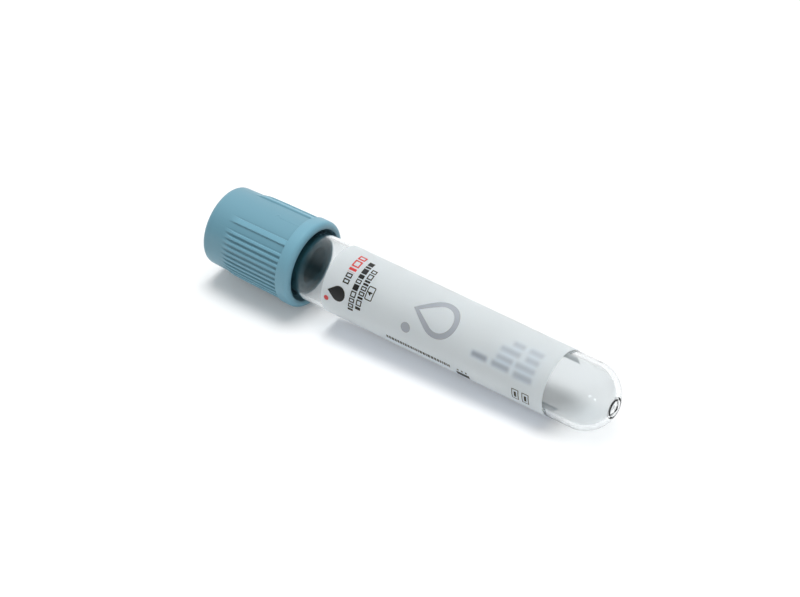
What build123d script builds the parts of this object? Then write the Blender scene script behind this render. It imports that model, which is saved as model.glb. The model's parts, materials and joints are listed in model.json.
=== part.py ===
"""Capped blood collection tube, lying on its side.

A clear round-bottomed tube with a wrapped label, closed by a ribbed cap that
carries a rubber stopper. Stations are measured along the tube's own axis, from
the rim of its mouth (0) towards the round end (+). Millimetres, +Z up, with the
resting surface at Z = 0 and the origin under the middle of the whole object.
"""

import os
from math import asin, atan2, cos, degrees, hypot, sin

from build123d import *

# ---------------------------------------------------------------- tube
tube_length = 75.0  # rim to tip
tube_radius = 6.5  # outside, at the round end
tube_wall = 1.0
mouth_draft = 0.05  # the barrel is this much wider, on radius, at its mouth
rim_round = 0.3
foot_length = 4.5  # truly cylindrical stretch next to the round end
gate_ring_radius = 1.85  # groove that the mould leaves round its gate, on the tip
gate_ring_width = 0.45
gate_ring_depth = 0.3
gate_dimple_radius = 0.6
gate_dimple_depth = 0.2

# ---------------------------------------------------------------- label
label_start = 14.2
label_foot_margin = 0.5  # from the label's end to the foot
label_thickness = 0.08
label_glue = 0.01
label_window = 110.0  # degrees left bare between the label's two long edges
label_window_at = 226.5  # its middle, in degrees from the top round to the front

# ---------------------------------------------------------------- cap
cap_length = 20.95
skirt_overlap = 7.75  # how far the skirt reaches past the tube's rim
skirt_clearance = 0.65  # radial, round the tube's mouth
skirt_end_wall = 0.52  # the skirt's wall over its bore, at the closed end
skirt_waist_wall = 0.82  # where the side turns from its steep taper to a slight one
skirt_neck_wall = 0.92  # and between the ribs at the collar
cap_waist = 10.05  # from the closed end to the waist
cap_waist_round = 60.0
cap_end_round = 1.1
collar_wall = 1.45
collar_width = 2.9
collar_step_round = 0.2
collar_mouth_round = 1.0
collar_inner_round = 0.3
top_wall = 1.5
top_rim_width = 2.32  # flat and rounded edge round the recess of the closed end
top_recess_depth = 0.6
socket_wall = 1.72  # round the socket that takes the stopper's head
bead_height = 0.35  # ring inside the skirt that retains the stopper's flange
bead_start = 0.25
bead_width = 0.8
bead_round = 0.2
cap_seam = -46.45  # where its turned faces join, in degrees from the top: clear of the ground

# ---------------------------------------------------------------- ribs of the cap
panel_turn = 5.75  # middle of the first smooth panel, in degrees from the top
rib_margin = 4.45  # plain length between the closed end and the ribs
rib_fade = 2.4  # length over which a rib sinks into the side
rib_height = 0.27
rib_seat = 0.35  # how deep a rib is rooted in the wall
rib_crest_round = 0.11
fine_rib_count = 12
fine_rib_pitch = 7.6  # degrees
fine_rib_root = 0.82
fine_rib_crest = 0.34
bold_rib_turn = 30.75  # degrees, from the panel's middle
bold_rib_root = 1.4
bold_rib_crest = 0.9

# ---------------------------------------------------------------- stopper
plug_length = 8.45
plug_clearance = 0.07  # running clearance in the tube's bore
plug_end_round = 0.7
plug_wall = 2.07  # round the hollow in the plug's free end
flange_clearance = 0.2  # radial, in the skirt's bore
flange_thickness = 2.4
flange_gap = 0.05  # between the flange and the tube's rim
head_clearance = 0.02
head_round = 0.3
well_depth = 2.6
well_mouth_round = 0.5
well_round = 1.2

# ---------------------------------------------------------------- derived stations
dome_centre = tube_length - tube_radius
foot_start = dome_centre - foot_length
label_end = foot_start - label_foot_margin
collar_mouth = skirt_overlap
collar_step = collar_mouth - collar_width
cap_top = collar_mouth - cap_length
waist = cap_top + cap_waist
recess_floor = cap_top + top_recess_depth
socket_top = recess_floor + top_wall
flange_top = -flange_gap - flange_thickness
fade_start = cap_top + rib_margin
rib_start = fade_start + rib_fade

# ---------------------------------------------------------------- derived radii
bore_radius = tube_radius - tube_wall
skirt_bore_radius = tube_radius + mouth_draft + skirt_clearance
cap_end_radius = skirt_bore_radius + skirt_end_wall
cap_waist_radius = skirt_bore_radius + skirt_waist_wall
cap_neck_radius = skirt_bore_radius + skirt_neck_wall
collar_radius = skirt_bore_radius + collar_wall
bead_radius = skirt_bore_radius - bead_height
top_recess_radius = cap_end_radius - top_rim_width
socket_radius = cap_end_radius - socket_wall
head_radius = socket_radius - head_clearance
flange_radius = skirt_bore_radius - flange_clearance


def barrel_growth(station):
    """How much the drafted barrel has grown on radius at a station."""
    return mouth_draft * (1 - station / foot_start)


def side_radius(station):
    """Outside radius of the cap's plain side, back from its waist."""
    share = (station - cap_top) / (waist - cap_top)
    return cap_end_radius + share * (cap_waist_radius - cap_end_radius)


plug_radius = bore_radius + barrel_growth(plug_length) - plug_clearance
well_radius = plug_radius - plug_wall

# ---------------------------------------------------------------- how it lies
# The collar's rounded edge and the round end both touch the ground, so the axis
# tips down towards the round end. Equal heights of the two contacts give
# reach * sin(tip) - drop * cos(tip) = rise.
contact = collar_mouth - collar_mouth_round
reach = dome_centre - contact
drop = collar_radius - collar_mouth_round
rise = collar_mouth_round - tube_radius
tip = atan2(drop, reach) + asin(rise / hypot(reach, drop))
mouth_height = tube_radius + dome_centre * sin(tip)
cap_reach = (cap_top + cap_end_round) * cos(tip) - cap_end_round
cap_reach -= (cap_end_radius - cap_end_round) * sin(tip)
dome_reach = dome_centre * cos(tip) + tube_radius
mouth_x = -(cap_reach + dome_reach) / 2

# On every plane along the tube local X runs from its mouth. Local Y points up on
# the side plane.
side = Plane(
    origin=(mouth_x, 0, mouth_height), x_dir=(cos(tip), 0, -sin(tip)), z_dir=(0, -1, 0)
)
tube_axis = Axis(side.origin, side.x_dir)


def turned(angle):
    """The side plane turned about the tube's axis, from the top round to the front."""
    return Plane(
        origin=side.origin, x_dir=side.x_dir, z_dir=side.z_dir.rotate(tube_axis, angle)
    )


def across(station):
    """Plane square to the tube at a station, with its X up and its Y to the front."""
    centre = side.from_local_coords((station, 0, 0))
    return Plane(origin=centre, x_dir=side.y_dir, z_dir=side.x_dir)


# ================================================================ tube
# One clear moulding: a drafted barrel, a cylindrical foot and a hemispherical
# end, with the bore one wall inside.
with BuildPart() as tube:
    with BuildSketch(side):
        with BuildLine():
            FilletPolyline(
                (foot_start, tube_radius),
                (0, tube_radius + mouth_draft),
                (0, bore_radius + mouth_draft),
                (foot_start, bore_radius),
                radius=rim_round,
            )
            Line((foot_start, tube_radius), (dome_centre, tube_radius))
            RadiusArc((dome_centre, tube_radius), (tube_length, 0), tube_radius)
            Line((tube_length, 0), (tube_length - tube_wall, 0))
            RadiusArc((tube_length - tube_wall, 0), (dome_centre, bore_radius), -bore_radius)
            Line((dome_centre, bore_radius), (foot_start, bore_radius))
        make_face()
    revolve(axis=tube_axis)
    # the groove and the dimple that the mould's gate leaves on the tip
    groove_station = dome_centre + (tube_radius**2 - gate_ring_radius**2) ** 0.5
    with BuildSketch(side):
        with Locations((groove_station, gate_ring_radius)):
            Rectangle(2 * gate_ring_depth, gate_ring_width)
    revolve(axis=tube_axis, mode=Mode.SUBTRACT)
    with BuildSketch(across(tube_length)):
        Circle(gate_dimple_radius)
    extrude(amount=-gate_dimple_depth, mode=Mode.SUBTRACT)

tube.part.label = "tube"

# ================================================================ label
# A film label glued round the barrel, with a bare strip between its long edges.
label_back_start = tube_radius + barrel_growth(label_start) + label_glue
label_back_end = tube_radius + barrel_growth(label_end) + label_glue

with BuildPart() as label:
    with BuildSketch(turned(label_window_at + label_window / 2)):
        with BuildLine():
            Polyline(
                (label_start, label_back_start),
                (label_start, label_back_start + label_thickness),
                (label_end, label_back_end + label_thickness),
                (label_end, label_back_end),
                close=True,
            )
        make_face()
    revolve(axis=tube_axis, revolution_arc=360 - label_window)

label.part.label = "label"

# ================================================================ ribs of the cap
# The grip is the same on the front and the back: a smooth panel between two bold
# ribs, then a field of fine ribs. All are straight bars, trimmed together to a
# crest line that sinks into the cap's side towards the closed end.
rib_foot = cap_neck_radius - rib_seat
rib_top = cap_neck_radius + rib_height


def rib_section(root_width, crest_width):
    """Section of one rib, standing out along X from the tube's axis."""
    with BuildSketch() as section:
        with BuildLine():
            FilletPolyline(
                (rib_foot, -root_width / 2),
                (cap_neck_radius, -root_width / 2),
                (rib_top, -crest_width / 2),
                (rib_top, crest_width / 2),
                (cap_neck_radius, root_width / 2),
                (rib_foot, root_width / 2),
                radius=[0, rib_crest_round, rib_crest_round, 0],
            )
            Line((rib_foot, root_width / 2), (rib_foot, -root_width / 2))
        make_face()
    return section.sketch


fine_rib = rib_section(fine_rib_root, fine_rib_crest)
bold_rib = rib_section(bold_rib_root, bold_rib_crest)
fine_rib_span = (fine_rib_count - 1) * fine_rib_pitch

with BuildPart() as ribs:
    with BuildSketch(across(fade_start)):
        for panel in (panel_turn, panel_turn + 180):
            with PolarLocations(
                0,
                fine_rib_count,
                start_angle=panel + 90 - fine_rib_span / 2,
                angular_range=fine_rib_span,
                endpoint=True,
            ):
                add(fine_rib)
            with PolarLocations(
                0,
                2,
                start_angle=panel - bold_rib_turn,
                angular_range=2 * bold_rib_turn,
                endpoint=True,
            ):
                add(bold_rib)
    extrude(amount=collar_step - fade_start)
    with BuildSketch(side):
        with BuildLine():
            Polyline(
                (fade_start, rib_foot - rib_seat),
                (collar_step, rib_foot - rib_seat),
                (collar_step, rib_top),
                (waist, cap_waist_radius + rib_height),
                (rib_start, side_radius(rib_start) + rib_height),
                (fade_start, side_radius(fade_start) - rib_seat / 4),
                close=True,
            )
        make_face()
    revolve(axis=tube_axis, mode=Mode.INTERSECT)

# ================================================================ cap
# One opaque moulding: a ribbed skirt with a plain collar at its mouth, a recessed
# closed end, a socket for the stopper's head and a bead that holds its flange.
with BuildPart() as cap:
    with BuildSketch(turned(cap_seam)):
        with BuildLine():
            FilletPolyline(
                (recess_floor, 0),
                (recess_floor, top_recess_radius),
                (cap_top, top_recess_radius),
                (cap_top, cap_end_radius),
                (waist, cap_waist_radius),
                (collar_step, cap_neck_radius),
                (collar_step, collar_radius),
                (collar_mouth, collar_radius),
                (collar_mouth, skirt_bore_radius),
                (bead_start + bead_width, skirt_bore_radius),
                (bead_start + bead_width / 2, bead_radius),
                (bead_start, skirt_bore_radius),
                (flange_top, skirt_bore_radius),
                (flange_top, socket_radius),
                (socket_top, socket_radius),
                (socket_top, 0),
                radius=[
                    top_recess_depth / 2,
                    top_recess_depth / 3,
                    cap_end_round,
                    cap_waist_round,
                    0,
                    collar_step_round,
                    collar_mouth_round,
                    collar_inner_round,
                    0,
                    bead_round,
                    0,
                    0,
                    0,
                    0,
                ],
            )
            Line((socket_top, 0), (recess_floor, 0))
        make_face()
    revolve(axis=tube_axis)
    add(ribs.part)

cap.part.label = "cap"

# ================================================================ stopper
# Soft rubber: a head that fills the cap's socket, a flange over the tube's rim
# and a plug in its bore, hollowed from the free end.
with BuildPart() as stopper:
    with BuildSketch(side):
        with BuildLine():
            FilletPolyline(
                (socket_top, 0),
                (socket_top, head_radius),
                (flange_top, head_radius),
                (flange_top, flange_radius),
                (-flange_gap, flange_radius),
                (-flange_gap, plug_radius),
                (plug_length, plug_radius),
                (plug_length, well_radius),
                (plug_length - well_depth, well_radius),
                (plug_length - well_depth, 0),
                radius=[
                    head_round,
                    0,
                    head_round,
                    head_round,
                    0,
                    plug_end_round,
                    well_mouth_round,
                    well_round,
                ],
            )
            Line((plug_length - well_depth, 0), (socket_top, 0))
        make_face()
    revolve(axis=tube_axis)

stopper.part.label = "stopper"

# ================================================================ files
os.makedirs("parts", exist_ok=True)
export_step(tube.part, "parts/tube.step")
export_step(label.part, "parts/label.step")
export_step(cap.part, "parts/cap.step")
export_step(stopper.part, "parts/stopper.step")

print(f"axis tips {degrees(tip):.4f} degrees; mouth at {mouth_x:.4f}, {mouth_height:.4f}")
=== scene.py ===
import json
import math
import random

import bmesh
import bpy
from mathutils import Matrix, Vector


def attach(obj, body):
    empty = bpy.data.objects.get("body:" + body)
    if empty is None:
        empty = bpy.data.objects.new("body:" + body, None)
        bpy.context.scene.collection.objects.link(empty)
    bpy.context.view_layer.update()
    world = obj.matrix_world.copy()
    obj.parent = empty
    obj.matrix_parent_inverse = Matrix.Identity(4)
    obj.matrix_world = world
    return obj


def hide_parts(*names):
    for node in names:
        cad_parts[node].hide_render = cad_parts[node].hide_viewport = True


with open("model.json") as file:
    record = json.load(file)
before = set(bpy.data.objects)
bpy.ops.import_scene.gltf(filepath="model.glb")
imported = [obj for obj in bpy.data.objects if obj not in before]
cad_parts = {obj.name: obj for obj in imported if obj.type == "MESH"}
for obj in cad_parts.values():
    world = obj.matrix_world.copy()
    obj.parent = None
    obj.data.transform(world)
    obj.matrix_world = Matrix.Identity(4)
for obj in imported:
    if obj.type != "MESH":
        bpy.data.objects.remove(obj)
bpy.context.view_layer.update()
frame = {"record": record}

# ================================================================ tube
# A clear moulded tube with a round end and a slight draft. Everything else is turned
# about its axis: stations run along it in millimetres, from its rim to its round end.
mm = 0.001
tube_length = 75.0
tube_radius = 6.5
tube_wall = 1.0
mouth_draft = 0.05
rim_round = 0.3
dome_centre = tube_length - tube_radius
foot_length = 4.5
foot_start = dome_centre - foot_length
bore_radius = tube_radius - tube_wall

foot = next(mount for mount in frame["record"]["mounts"] if mount["name"] == "round_end")
foot_middle = (foot_start + dome_centre) / 2
axis = Vector(foot["axis"]).normalized()
back = Vector((0, 1, 0))
mouth = Vector(foot["pos_m"]) - axis * foot_middle * mm
turn_to_lie = Matrix((axis, back, axis.cross(back))).transposed().to_4x4()
lie = Matrix.Translation(mouth) @ turn_to_lie @ Matrix.Scale(mm, 4)


def turned(corners, steps):
    """Surface turned about X from (station, radius, rounding) corners."""
    bm = bmesh.new()
    verts = [bm.verts.new((station, 0, radius)) for station, radius, rounding in corners]
    for vert, following in zip(verts, verts[1:]):
        bm.edges.new((vert, following))
    chord_error = 0.002
    for vert, (station, radius, rounding) in zip(verts, corners):
        if rounding == 0:
            continue
        arms = [edge.other_vert(vert).co - vert.co for edge in vert.link_edges]
        corner_angle = arms[0].angle(arms[1])
        arc_steps = (math.pi - corner_angle) * math.sqrt(rounding / (8 * chord_error))
        bmesh.ops.bevel(
            bm,
            geom=[vert],
            affect="VERTICES",
            offset=rounding / math.tan(corner_angle / 2),
            offset_type="OFFSET",
            segments=max(2, math.ceil(arc_steps)),
            profile=0.5,
            material=-1,
        )
    sectors = 10
    about = {"cent": (0, 0, 0), "axis": (1, 0, 0)}
    sector = 2 * math.pi / sectors
    outline = bm.verts[:] + bm.edges[:]
    bmesh.ops.spin(bm, geom=outline, angle=sector, steps=steps // sectors, **about)
    wedge = bm.verts[:] + bm.edges[:] + bm.faces[:]
    rest = sectors - 1
    bmesh.ops.spin(
        bm, geom=wedge, angle=sector * rest, steps=rest, use_duplicate=True, **about
    )
    bmesh.ops.remove_doubles(bm, verts=bm.verts, dist=0.0005)
    bmesh.ops.recalc_face_normals(bm, faces=bm.faces)
    return bm


def finished(bm, name, body, slot, *nodes):
    """Lays a bmesh where the tube lies, as a smooth object that rides on a body."""
    sharp_angle = 38
    bm.transform(lie)
    mesh = bpy.data.meshes.new(name)
    bm.to_mesh(mesh)
    bm.free()
    piece = bpy.data.objects.new(name, mesh)
    bpy.context.scene.collection.objects.link(piece)
    mesh.shade_smooth()
    mesh.set_sharp_from_angle(angle=math.radians(sharp_angle))
    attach(piece, body)
    if nodes:
        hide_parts(*nodes)
    return piece


def dome_arc(radius, first, last, steps):
    """Corners along the round end, between two angles from the tip, in degrees."""
    angles = [math.radians(first + (last - first) * i / steps) for i in range(steps + 1)]
    return [(dome_centre + radius * math.cos(a), radius * math.sin(a), 0) for a in angles]


gate_ring_radius = 1.85
gate_ring_width = 0.45
gate_ring_depth = 0.3
gate_dimple_radius = 0.6
gate_dimple_depth = 0.2
ring_inner = gate_ring_radius - gate_ring_width / 2
ring_outer = gate_ring_radius + gate_ring_width / 2
ring_station = dome_centre + math.sqrt(tube_radius**2 - gate_ring_radius**2)
dimple_floor = tube_length - gate_dimple_depth
ring_floor = ring_station - gate_ring_depth
groove_round = 0.1
dimple_round = 0.08


def tip_angle(radius):
    """Angle from the tip, in degrees, at which the round end has a radius."""
    return math.degrees(math.asin(radius / tube_radius))


bm = turned(
    [(dimple_floor, 0, 0), (dimple_floor, gate_dimple_radius, dimple_round)]
    + dome_arc(tube_radius, tip_angle(gate_dimple_radius), tip_angle(ring_inner), 6)
    + [(ring_floor, ring_inner, groove_round), (ring_floor, ring_outer, groove_round)]
    + dome_arc(tube_radius, tip_angle(ring_outer), 90, 36)
    + [
        (foot_start, tube_radius, 0),
        (0, tube_radius + mouth_draft, rim_round),
        (0, bore_radius + mouth_draft, rim_round),
        (foot_start, bore_radius, 0),
    ]
    + dome_arc(bore_radius, 90, 0, 36),
    steps=240,
)
tube = finished(bm, "tube_clear", "tube_body", "tube", "tube")


def material_for(piece, name):
    """New material on a piece, as its node tree."""
    material = bpy.data.materials.new(name)
    material.use_nodes = True
    piece.data.materials.clear()
    piece.data.materials.append(material)
    return material.node_tree


def new_group(name, inputs, outputs):
    """Shader node group with its sockets, its input node and its output node."""
    group = bpy.data.node_groups.new(name, "ShaderNodeTree")
    for socket, kind, value in inputs:
        made = group.interface.new_socket(name=socket, in_out="INPUT", socket_type=kind)
        if value is not None:
            made.default_value = value
    for socket in outputs:
        group.interface.new_socket(name=socket, in_out="OUTPUT", socket_type="NodeSocketFloat")
    return group, group.nodes.new("NodeGroupInput"), group.nodes.new("NodeGroupOutput")


def maths(tree, operation, *values):
    """Output of a math node that takes numbers or the outputs of other nodes."""
    node = tree.nodes.new("ShaderNodeMath")
    node.operation = operation
    for socket, value in zip(node.inputs, values):
        if isinstance(value, bpy.types.NodeSocket):
            tree.links.new(value, socket)
        else:
            socket.default_value = value
    return node.outputs[0]


# Moulded and rolled plastics are never quite even: a fine grain in the surface, and a
# slow drift in tone and gloss where the melt has flowed.
unevenness, given, result = new_group(
    "unevenness",
    [
        ("Vector", "NodeSocketVector", None),
        ("Grain Scale", "NodeSocketFloat", 4000.0),
        ("Drift Scale", "NodeSocketFloat", 120.0),
    ],
    ["Grain", "Drift"],
)
for output, scale, detail in (("Grain", "Grain Scale", 2.0), ("Drift", "Drift Scale", 3.0)):
    noise = unevenness.nodes.new("ShaderNodeTexNoise")
    noise.inputs["Detail"].default_value = detail
    unevenness.links.new(given.outputs["Vector"], noise.inputs["Vector"])
    unevenness.links.new(given.outputs[scale], noise.inputs["Scale"])
    unevenness.links.new(noise.outputs["Fac"], result.inputs[output])


def uneven_surface(tree, colours, roughness, grain_scale, drift_scale, bump):
    """Principled shader whose colour and gloss drift a little over a fine grain."""
    principled = tree.nodes["Principled BSDF"]
    place = tree.nodes.new("ShaderNodeTexCoord")
    uneven = tree.nodes.new("ShaderNodeGroup")
    uneven.node_tree = unevenness
    uneven.inputs["Grain Scale"].default_value = grain_scale
    uneven.inputs["Drift Scale"].default_value = drift_scale
    tree.links.new(place.outputs["Object"], uneven.inputs["Vector"])
    tone = tree.nodes.new("ShaderNodeMix")
    tone.data_type = "RGBA"
    tone.inputs["A"].default_value = (*colours[0], 1)
    tone.inputs["B"].default_value = (*colours[1], 1)
    tree.links.new(uneven.outputs["Drift"], tone.inputs["Factor"])
    tree.links.new(tone.outputs["Result"], principled.inputs["Base Color"])
    gloss = tree.nodes.new("ShaderNodeMapRange")
    gloss.inputs["From Min"].default_value = 0.3
    gloss.inputs["From Max"].default_value = 0.7
    gloss.inputs["To Min"].default_value = roughness[0]
    gloss.inputs["To Max"].default_value = roughness[1]
    tree.links.new(uneven.outputs["Drift"], gloss.inputs["Value"])
    tree.links.new(gloss.outputs["Result"], principled.inputs["Roughness"])
    relief = tree.nodes.new("ShaderNodeBump")
    relief.inputs["Distance"].default_value = bump
    tree.links.new(uneven.outputs["Grain"], relief.inputs["Height"])
    tree.links.new(relief.outputs["Normal"], principled.inputs["Normal"])
    return principled, tone


tree = material_for(tube, "clear_plastic")
principled, _ = uneven_surface(
    tree, ((0.76, 0.782, 0.79), (0.783, 0.803, 0.811)), (0.05, 0.09), 900, 150, 0.000004
)
principled.inputs["Transmission Weight"].default_value = 1
principled.inputs["IOR"].default_value = 1.52
principled.inputs["Specular Tint"].default_value = (0.4, 0.42, 0.43, 1)
shadow = tree.nodes.new("ShaderNodeBsdfTransparent")
shadow.inputs["Color"].default_value = (0.955, 0.965, 0.97, 1)
path = tree.nodes.new("ShaderNodeLightPath")
mix = tree.nodes.new("ShaderNodeMixShader")
tree.links.new(path.outputs["Is Shadow Ray"], mix.inputs["Fac"])
tree.links.new(principled.outputs["BSDF"], mix.inputs[1])
tree.links.new(shadow.outputs["BSDF"], mix.inputs[2])
tree.links.new(mix.outputs["Shader"], tree.nodes["Material Output"].inputs["Surface"])

# ================================================================ label
# A satin film, glued round the barrel with a bare strip at the back between its edges.
# Faint grey fields are printed on it in soft half-tone.
label_start = 14.2
label_end = 63.5
label_thickness = 0.08
label_glue = 0.01
label_window = 110.0
label_window_at = 226.5
label_turn = math.radians(360 - label_window)


def film_back(station):
    """Radius of the label's back at a station, on the drafted barrel."""
    return tube_radius + mouth_draft * (1 - station / foot_start) + label_glue


bm = bmesh.new()
start = bm.verts.new((label_start, 0, film_back(label_start)))
end = bm.verts.new((label_end, 0, film_back(label_end)))
edge = bm.edges.new((start, end))
bmesh.ops.subdivide_edges(bm, edges=[edge], cuts=24)
half_window = Matrix.Rotation(math.radians(label_window_at - label_window / 2), 3, "X")
bmesh.ops.rotate(bm, verts=bm.verts, cent=(0, 0, 0), matrix=half_window)
bmesh.ops.spin(
    bm,
    geom=bm.verts[:] + bm.edges[:],
    cent=(0, 0, 0),
    axis=(1, 0, 0),
    angle=-label_turn,
    steps=166,
)
bmesh.ops.recalc_face_normals(bm, faces=bm.faces)
outward = sum(face.normal.dot(face.calc_center_median() * Vector((0, 1, 1))) for face in bm.faces)
if outward < 0:
    bmesh.ops.reverse_faces(bm, faces=bm.faces)
bmesh.ops.solidify(bm, geom=bm.faces[:], thickness=-label_thickness)
print_radius = film_back(label_start) + label_thickness
film_map = bm.loops.layers.uv.new("film")
for face in bm.faces:
    for loop in face.loops:
        station, y, z = loop.vert.co
        loop[film_map].uv = (station, math.atan2(-y, z) * print_radius)
label = finished(bm, "label_film", "tube_body", "label", "label")

# one soft-edged rectangle of half-tone, as a mask over the film
field_sockets = ("Along", "Around", "Length", "Width", "Softness")
halftone, given, result = new_group(
    "halftone_field",
    [("Vector", "NodeSocketVector", None)]
    + [(name, "NodeSocketFloat", 1.0) for name in field_sockets],
    ["Mask"],
)
split = halftone.nodes.new("ShaderNodeSeparateXYZ")
halftone.links.new(given.outputs["Vector"], split.inputs["Vector"])
masks = []
for coordinate, centre, size in (("X", "Along", "Length"), ("Y", "Around", "Width")):
    offset = maths(halftone, "SUBTRACT", split.outputs[coordinate], given.outputs[centre])
    half = maths(halftone, "MULTIPLY", given.outputs[size], 0.5)
    inner = maths(halftone, "SUBTRACT", half, given.outputs["Softness"])
    outer = maths(halftone, "ADD", half, given.outputs["Softness"])
    fade = halftone.nodes.new("ShaderNodeMapRange")
    fade.interpolation_type = "SMOOTHSTEP"
    fade.inputs["To Min"].default_value = 1
    fade.inputs["To Max"].default_value = 0
    halftone.links.new(maths(halftone, "ABSOLUTE", offset), fade.inputs["Value"])
    halftone.links.new(inner, fade.inputs["From Min"])
    halftone.links.new(outer, fade.inputs["From Max"])
    masks.append(fade.outputs["Result"])
halftone.links.new(maths(halftone, "MULTIPLY", *masks), result.inputs["Mask"])

tree = material_for(label, "label_satin_film")
principled, tone = uneven_surface(
    tree, ((0.725, 0.842, 0.98), (0.74, 0.857, 0.99)), (0.38, 0.48), 2500, 60, 0.000003
)
principled.inputs["Subsurface Weight"].default_value = 1
principled.inputs["Subsurface Radius"].default_value = (1, 1, 1)
principled.inputs["Subsurface Scale"].default_value = 0.0004
film_place = tree.nodes.new("ShaderNodeUVMap")
film_place.uv_map = "film"
halftone_fields = [  # station, arc from the top, length, width, density
    (55.5, 2.5, 2.5, 1.0, 0.6),
    (59.2, 2.5, 3.0, 1.0, 0.6),
    (54.6, 4.2, 4.2, 1.0, 0.65),
    (59.3, 4.2, 2.8, 1.0, 0.65),
    (54.2, 5.9, 3.5, 1.0, 0.7),
    (58.6, 5.9, 4.2, 1.0, 0.65),
    (49.2, 7.4, 3.4, 1.1, 1.0),
    (53.8, 7.4, 3.8, 1.1, 0.85),
    (58.7, 7.6, 4.0, 1.2, 0.75),
]
field_softness = 0.5
ink_over = tone.outputs["Result"]
for along, around, length, width, density in halftone_fields:
    field = tree.nodes.new("ShaderNodeGroup")
    field.node_tree = halftone
    values = (along, around, length, width, field_softness)
    for socket, value in zip(field_sockets, values):
        field.inputs[socket].default_value = value
    tree.links.new(film_place.outputs["UV"], field.inputs["Vector"])
    amount = maths(tree, "MULTIPLY", field.outputs["Mask"], density)
    inked = tree.nodes.new("ShaderNodeMix")
    inked.data_type = "RGBA"
    inked.inputs["B"].default_value = (0.33, 0.37, 0.41, 1)
    tree.links.new(amount, inked.inputs["Factor"])
    tree.links.new(ink_over, inked.inputs["A"])
    ink_over = inked.outputs["Result"]
tree.links.new(ink_over, principled.inputs["Base Color"])

# ================================================================ print
# Screen-printed ink on the film, in plain shapes: rows of blocks, two drops with a dot
# each, a numbered box, a line of dashes and two small squares. Each colour is a layer.
ink_thickness = 0.012
ink_gap = 0.004


def arc_at(turn):
    """Arc length on the film from the top to a turn in degrees, round to the front."""
    return math.radians(turn) * print_radius


def plate(bm, along, around, length, width, corner=0.0):
    """Flat rectangle about a point of the film, with its corners rounded."""
    ends = ((-1, -1), (1, -1), (1, 1), (-1, 1))
    places = [(along + a * length / 2, around + b * width / 2, 0) for a, b in ends]
    face = bm.faces.new([bm.verts.new(place) for place in places])
    if corner:
        bmesh.ops.bevel(
            bm,
            geom=face.verts[:],
            affect="VERTICES",
            offset=corner,
            offset_type="OFFSET",
            segments=5,
            profile=0.5,
            material=-1,
        )
        bm.faces.ensure_lookup_table()
        face = bm.faces[-1]
    face.normal_update()
    return face


def hollowed(bm, face, stroke):
    """Leaves only an outline of a face."""
    bmesh.ops.inset_individual(bm, faces=[face], thickness=stroke)
    bmesh.ops.delete(bm, geom=[face], context="FACES_ONLY")


def drop(bm, along, around, radius, height):
    """Face of a drop whose point is towards the cap."""
    reach = height - radius
    touch = math.acos(radius / reach)
    sweep = 2 * (math.pi - touch)
    steps = 48
    turns = [touch + sweep * i / steps for i in range(steps + 1)]
    places = [(along - reach, around, 0)]
    places += [(along - radius * math.cos(t), around + radius * math.sin(t), 0) for t in turns]
    face = bm.faces.new([bm.verts.new(place) for place in places])
    face.normal_update()
    return face


def numeral(bm, digits, along, around, height):
    """Plain digits, read from the front with their tops towards the cap."""
    text = bpy.data.curves.new("digits", "FONT")
    text.body = digits
    text.align_x = "CENTER"
    text.align_y = "CENTER"
    text.size = height / 0.7
    text.offset = 0.035
    text.resolution_u = 4
    written = bpy.data.objects.new("digits", text)
    mesh = bpy.data.meshes.new_from_object(written)
    mesh.transform(Matrix(((0, -1, 0, along), (-1, 0, 0, around), (0, 0, 1, 0), (0, 0, 0, 1))))
    bm.from_mesh(mesh)
    bpy.data.objects.remove(written)
    bpy.data.meshes.remove(mesh)


def block_row(bm, along, first, last, height, seed):
    """Row of solid and outlined blocks of varied width, round the film."""
    draw = random.Random(seed)
    place = first
    while place < last:
        width = min(draw.choice((0.35, 0.7, 0.85, 1.0)) * height, last - place)
        face = plate(bm, along, place + width / 2, height, width)
        if width > 0.5 * height and draw.random() < 0.6:
            hollowed(bm, face, 0.26 * height)
        place += width + 0.2 * height


def printed(bm, name, colour, roughness):
    """Wraps a flat layer of ink round the film and gives it its thickness."""
    longest = 0.4
    bm.normal_update()
    for face in bm.faces:
        if face.normal.z < 0:
            face.normal_flip()
    for normal, index in (((1, 0, 0), 0), ((0, 1, 0), 1)):
        low = min(vert.co[index] for vert in bm.verts)
        high = max(vert.co[index] for vert in bm.verts)
        for i in range(1, math.ceil((high - low) / longest)):
            cut = Vector(normal) * (low + i * longest)
            everything = bm.verts[:] + bm.edges[:] + bm.faces[:]
            bmesh.ops.bisect_plane(bm, geom=everything, plane_co=cut, plane_no=normal)
    bmesh.ops.solidify(bm, geom=bm.faces[:], thickness=-ink_thickness)
    for vert in bm.verts:
        station, arc, height = vert.co
        radius = film_back(station) + label_thickness + ink_gap + abs(height)
        turn = arc / print_radius
        vert.co = (station, -radius * math.sin(turn), radius * math.cos(turn))
    bmesh.ops.recalc_face_normals(bm, faces=bm.faces)
    piece = finished(bm, name, "tube_body", "label")
    tree = material_for(piece, name + "_ink")
    darker = [0.85 * channel for channel in colour]
    uneven_surface(tree, (darker, colour), roughness, 3500, 400, 0.000002)


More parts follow.
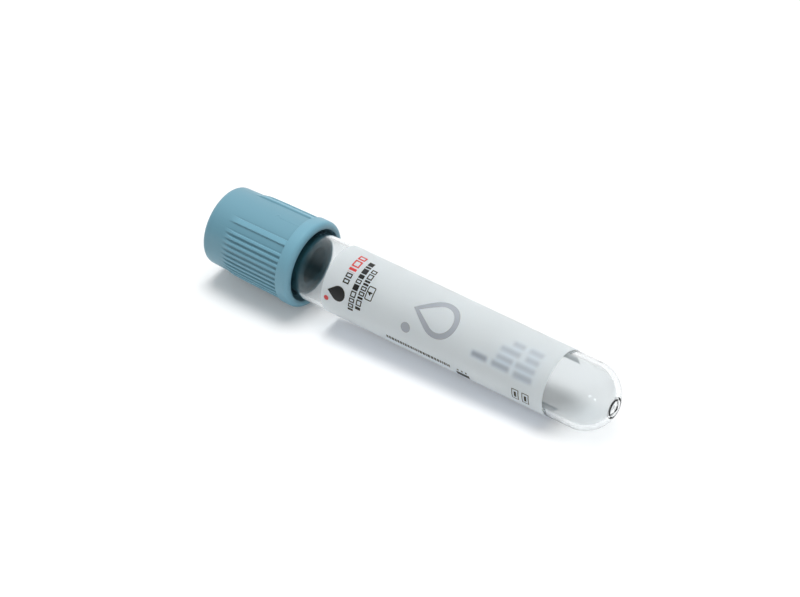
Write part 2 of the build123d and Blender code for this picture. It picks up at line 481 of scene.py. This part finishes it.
black = bmesh.new()
drop(black, 17.85, arc_at(72), 1.5, 3.9)
block_row(black, 18.6, arc_at(33), arc_at(52), 1.3, 3)
block_row(black, 20.95, arc_at(-1), arc_at(90), 1.15, 5)
block_row(black, 22.55, arc_at(11), arc_at(83), 1.15, 8)
box = plate(black, 24.15, arc_at(49), 1.6, 2.7, 0.3)
hollowed(black, box, 0.19)
numeral(black, "4", 24.15, arc_at(49), 1.0)
plate(black, 45.9, arc_at(120), 2.8, 1.2)
for along in (57.7, 59.9):
    box = plate(black, along, arc_at(101), 1.5, 2.5, 0.12)
    hollowed(black, box, 0.16)
    plate(black, along, arc_at(101), 0.5, 1.3)
printed(black, "label_print_black", (0.008, 0.009, 0.01), (0.5, 0.6))

red = bmesh.new()
bmesh.ops.create_circle(
    red, cap_ends=True, segments=32, radius=0.52, matrix=Matrix.Translation((15.4, arc_at(88), 0))
)
block_row(red, 18.6, arc_at(-6), arc_at(31), 1.6, 4)
printed(red, "label_print_red", (0.62, 0.035, 0.04), (0.35, 0.45))

grey = bmesh.new()
hollowed(grey, drop(grey, 39.3, arc_at(38), 3.7, 9.6), 1.1)
bmesh.ops.create_circle(
    grey, cap_ends=True, segments=48, radius=1.0, matrix=Matrix.Translation((33.2, arc_at(74), 0))
)
printed(grey, "label_print_grey", (0.38, 0.41, 0.45), (0.4, 0.5))

slate = bmesh.new()
dashes = random.Random(11)
along = 29.0
while along < 43.2:
    length = dashes.uniform(0.25, 0.6)
    plate(slate, along + length / 2, arc_at(110), length, 0.8)
    along += length + 0.16
for along in (45.0, 45.9, 46.8):
    plate(slate, along, arc_at(109), 0.4, 0.4)
printed(slate, "label_print_slate", (0.07, 0.078, 0.082), (0.4, 0.5))

# ================================================================ stopper
# Soft slate-blue rubber, moulded in one: a head in the cap's socket, a flange over
# the tube's rim and a plug in its bore, hollowed from the free end.
socket_top = -11.1
flange_top = -2.45
flange_foot = -0.05
head_radius = 5.98
flange_radius = 7.0
plug_length = 8.45
plug_radius = 5.4734
well_radius = 3.4034
well_depth = 2.6
bm = turned(
    [
        (socket_top, 0, 0),
        (socket_top, head_radius, 0.3),
        (flange_top, head_radius, 0),
        (flange_top, flange_radius, 0.3),
        (flange_foot, flange_radius, 0.3),
        (flange_foot, plug_radius, 0),
        (plug_length, plug_radius, 0.7),
        (plug_length, well_radius, 0.5),
        (plug_length - well_depth, well_radius, 1.2),
        (plug_length - well_depth, 0, 0),
    ],
    steps=200,
)
stopper = finished(bm, "stopper_rubber", "closure", "stopper", "stopper")
tree = material_for(stopper, "slate_rubber")
principled, _ = uneven_surface(
    tree, ((0.014, 0.076, 0.1), (0.02, 0.098, 0.128)), (0.55, 0.7), 1800, 200, 0.00002
)
principled.inputs["Specular IOR Level"].default_value = 0.3

# ================================================================ cap
# One satin moulding: a skirt with a plain collar, two smooth panels with a bold rib
# each side, fields of fine ribs between them, and a recess in the closed end.
cap_top = -13.2
recess_floor = -12.6
recess_radius = 5.4
fade_start = -8.75
rib_start = -6.35
waist = -3.15
collar_step = 4.85
collar_mouth = 7.75
skirt_bore = 7.2
cap_end_radius = 7.72
cap_waist_radius = 8.02
cap_neck_radius = 8.12
collar_radius = 8.645
socket_radius = 6.0
bead_start = 0.25
bead_width = 0.8
bead_height = 0.35

panel_turn = 5.75
rib_height = 0.27
fine_rib_count = 12
fine_rib_pitch = 7.6
fine_rib_root = 0.82
fine_rib_crest = 0.34
bold_rib_turn = 30.75
bold_rib_root = 1.4
bold_rib_crest = 0.9
ribs = []  # the middle of each rib in degrees from the top, with its root and crest widths
for panel in (panel_turn, panel_turn + 180):
    for i in range(fine_rib_count):
        turn = panel + 90 + (i - (fine_rib_count - 1) / 2) * fine_rib_pitch
        ribs.append((turn, fine_rib_root, fine_rib_crest))
    for turn in (panel - bold_rib_turn, panel + bold_rib_turn):
        ribs.append((turn, bold_rib_root, bold_rib_crest))


def rib_shape(turn, station):
    """Height of the nearest rib over the cap's side, and its painted light: a painted highlight
    on its crest and painted shade at its feet.
    """
    ramp = min(1, (station - fade_start) / (rib_start - fade_start))
    if ramp <= 0 or station > collar_step:
        return 0, 0
    flank = -1
    for middle, root, crest in ribs:
        away = abs((turn - middle + 180) % 360 - 180)
        away = math.radians(away) * cap_neck_radius
        flank = max(flank, (root / 2 - away) / ((root - crest) / 2))
    relief = max(0, min(flank, ramp, 1))
    # painted highlight on the rib's crest, painted shade at its feet
    edge = max(0, min(flank, 1)) ** 2 - max(0, 1 - abs(flank) / 0.8)
    return rib_height * relief * relief * (3 - 2 * relief), edge * ramp


mark_station = -0.45
mark_turn = 6
mark_radius = 0.45
mark_half_width = 0.16
mark_height = 0.08
mark_open_side = 0.1


def mark_relief(turn, station):
    """Height of the small raised arc that the mould leaves on the smooth panel."""
    along = station - mark_station
    around = math.radians((turn - mark_turn + 180) % 360 - 180) * cap_waist_radius
    ridge = 1 - abs(math.hypot(along, around) - mark_radius) / mark_half_width
    return mark_height * max(0, ridge) if around < mark_open_side else 0


def side_radius(station):
    """Radius of the cap's plain side, from its closed end to its waist."""
    share = (station - cap_top) / (waist - cap_top)
    return cap_end_radius + share * (cap_waist_radius - cap_end_radius)


# rings of vertices where a rib fades in and where the mark is, and one between
fade_stations = [fade_start + 0.4 * i for i in range(8)]
side_stations = fade_stations + [-4.6]
mark_stations = [-1.15 + 0.1 * i for i in range(13)]
neck_slope = (cap_neck_radius - cap_waist_radius) / (collar_step - waist)
bm = turned(
    [
        (recess_floor, 0, 0),
        (recess_floor, recess_radius, 0.3),
        (cap_top, recess_radius, 0.2),
        (cap_top, cap_end_radius, 1.1),
    ]
    + [(station, side_radius(station), 0) for station in side_stations]
    + [(waist, cap_waist_radius, 0)]
    + [(at, cap_waist_radius + (at - waist) * neck_slope, 0) for at in mark_stations]
    + [
        (collar_step - 0.02, cap_neck_radius, 0),
        (collar_step, collar_radius, 0.2),
        (collar_mouth, collar_radius, 1.0),
        (collar_mouth, skirt_bore, 0.3),
        (bead_start + bead_width, skirt_bore, 0),
        (bead_start + bead_width / 2, skirt_bore - bead_height, 0.2),
        (bead_start, skirt_bore, 0),
        (flange_top, skirt_bore, 0),
        (flange_top, socket_radius, 0),
        (socket_top, socket_radius, 0),
        (socket_top, 0, 0),
    ],
    steps=900,
)
# painted sheen: the collar's colour is painted paler, as if it caught the light
collar_painted_sheen = 0.7
# per vertex painted light on the cap's colour: above 0 is painted highlight, below 0 is painted
# shade
painted_sheen_and_shade = bm.verts.layers.float.new("painted_sheen_and_shade")
for vert in bm.verts:
    station, y, z = vert.co
    radius = math.hypot(y, z)
    if radius > cap_end_radius - 0.01 and station <= collar_step - 0.01:
        turn = math.degrees(math.atan2(-y, z))
        height, vert[painted_sheen_and_shade] = rib_shape(turn, station)
        raised = 1 + (height + mark_relief(turn, station)) / radius
        vert.co = (station, y * raised, z * raised)
    elif radius > collar_radius - 1.0 and station > collar_step - 0.01:
        vert[painted_sheen_and_shade] = collar_painted_sheen
cap = finished(bm, "cap_ribbed", "closure", "cap", "cap")
tree = material_for(cap, "cap_satin_plastic")
principled, tone = uneven_surface(
    tree, ((0.142, 0.318, 0.405), (0.162, 0.342, 0.428)), (0.34, 0.44), 2600, 90, 0.000008
)
# painted light: the ribs' crests and the collar are painted paler as painted highlight and sheen,
# and the ribs' feet are painted darker as painted shade
painted_light_attribute = tree.nodes.new("ShaderNodeAttribute")
painted_light_attribute.attribute_name = "painted_sheen_and_shade"
shade = tree.nodes.new("ShaderNodeMapRange")
shade.inputs["From Min"].default_value = -1
shade.inputs["To Min"].default_value = 0.72
shade.inputs["To Max"].default_value = 1.2
tree.links.new(painted_light_attribute.outputs["Fac"], shade.inputs["Value"])
lit_and_shaded_tone = tree.nodes.new("ShaderNodeVectorMath")
lit_and_shaded_tone.operation = "SCALE"
tree.links.new(tone.outputs["Result"], lit_and_shaded_tone.inputs["Vector"])
tree.links.new(shade.outputs["Result"], lit_and_shaded_tone.inputs["Scale"])
tree.links.new(lit_and_shaded_tone.outputs["Vector"], principled.inputs["Base Color"])

# ================================================================ floor
# A plain pale table, which clips to white where it is fully lit and keeps the shadow. To rays
# through the clear plastic it glows brighter still. This is painted light, and it makes the
# shadow seen through the tube lighter.
bm = bmesh.new()
bmesh.ops.create_grid(bm, x_segments=1, y_segments=1, size=0.7)
bmesh.ops.translate(bm, verts=bm.verts, vec=(0, 0, -0.00002))
mesh = bpy.data.meshes.new("floor")
bm.to_mesh(mesh)
bm.free()
floor = bpy.data.objects.new("floor", mesh)
bpy.context.scene.collection.objects.link(floor)
tree = material_for(floor, "pale_table")
principled = tree.nodes["Principled BSDF"]
principled.inputs["Base Color"].default_value = (0.88, 0.88, 0.88, 1)
principled.inputs["Roughness"].default_value = 0.9
path = tree.nodes.new("ShaderNodeLightPath")
open_lift = maths(tree, "MULTIPLY", path.outputs["Is Camera Ray"], 0.12)
# painted light: rays through the clear tube see the floor glow 0.36 brighter, which lightens its
# shadow there
lift = maths(tree, "MULTIPLY_ADD", path.outputs["Is Transmission Ray"], 0.36, open_lift)
principled.inputs["Emission Color"].default_value = (1, 1, 1, 1)
tree.links.new(lift, principled.inputs["Emission Strength"])

# ================================================================ light
# A soft box above and a little behind, two small ones at the right, and even fill.
world = bpy.data.worlds.new("studio")
bpy.context.scene.world = world
world.use_nodes = True
room = world.node_tree
nodes = room.nodes
links = room.links
fill = nodes["Background"]
fill.inputs["Color"].default_value = (0.97, 0.99, 1, 1)
white = nodes.new("ShaderNodeBackground")
white.inputs["Color"].default_value = (1, 1, 1, 1)
path = nodes.new("ShaderNodeLightPath")
direction = nodes.new("ShaderNodeTexCoord")
height = nodes.new("ShaderNodeSeparateXYZ")
links.new(direction.outputs["Generated"], height.inputs["Vector"])
# through clear plastic the white shows level with the object, not overhead
low = nodes.new("ShaderNodeMapRange")
low.interpolation_type = "SMOOTHSTEP"
low.inputs["From Min"].default_value = 0.3
low.inputs["From Max"].default_value = 0.55
low.inputs["To Min"].default_value = 1
low.inputs["To Max"].default_value = 0
links.new(height.outputs["Z"], low.inputs["Value"])
through = maths(room, "MULTIPLY", path.outputs["Is Transmission Ray"], low.outputs["Result"])
seen = maths(room, "MAXIMUM", path.outputs["Is Camera Ray"], through)
mix = nodes.new("ShaderNodeMixShader")
links.new(seen, mix.inputs["Fac"])
links.new(fill.outputs["Background"], mix.inputs[1])
links.new(white.outputs["Background"], mix.inputs[2])
links.new(mix.outputs["Shader"], nodes["World Output"].inputs["Surface"])
# reflections see a soft glow overhead and behind, and a dim room in front
towards = nodes.new("ShaderNodeVectorMath")
towards.operation = "DOT_PRODUCT"
towards.inputs[1].default_value = Vector((-0.35, 0.5, 0.8)).normalized()
links.new(direction.outputs["Generated"], towards.inputs[0])
glow = nodes.new("ShaderNodeMapRange")
glow.interpolation_type = "SMOOTHSTEP"
glow.inputs["From Min"].default_value = 0.1
glow.inputs["From Max"].default_value = 1.0
glow.inputs["To Min"].default_value = 0.08
glow.inputs["To Max"].default_value = 1.3
links.new(towards.outputs["Value"], glow.inputs["Value"])
bent = path.outputs["Is Transmission Ray"]
mirrored = maths(room, "MAXIMUM", path.outputs["Is Glossy Ray"], bent)
level = nodes.new("ShaderNodeMix")
level.inputs["A"].default_value = 0.42
links.new(mirrored, level.inputs["Factor"])
links.new(glow.outputs["Result"], level.inputs["B"])
links.new(level.outputs["Result"], fill.inputs["Strength"])


def soft_box(name, place, size, power):
    """Square area lamp that faces the middle of the object."""
    lamp = bpy.data.lights.new(name, "AREA")
    lamp.size = size
    lamp.energy = power
    lit = bpy.data.objects.new(name, lamp)
    lit.location = place
    lit.rotation_euler = (-Vector(place)).to_track_quat("-Z", "Y").to_euler()
    bpy.context.scene.collection.objects.link(lit)
    return lit


overhead = soft_box("overhead_box", (-0.1, 0.12, 0.9), 0.5, 6.6)
overhead.visible_glossy = False
overhead.visible_transmission = False
soft_box("right_box", (0.65, -0.57, 0.5), 0.12, 0.4)
soft_box("low_box", (0.87, -0.38, 0.31), 0.12, 0.4)

# ================================================================ camera
# From the front right and above, with a long lens.
camera = bpy.data.cameras.new("camera")
camera.lens = 153.6
camera.sensor_width = 36
camera.clip_start = 0.01
seen_from = bpy.data.objects.new("camera", camera)
seen_from.location = (0.29412, -0.4036, 0.3830)
seen_from.rotation_euler = Vector((-0.4759, 0.6456, -0.5972)).to_track_quat("-Z", "Y").to_euler()
bpy.context.scene.collection.objects.link(seen_from)
bpy.context.scene.camera = seen_from
bpy.context.scene.view_settings.view_transform = "Standard"
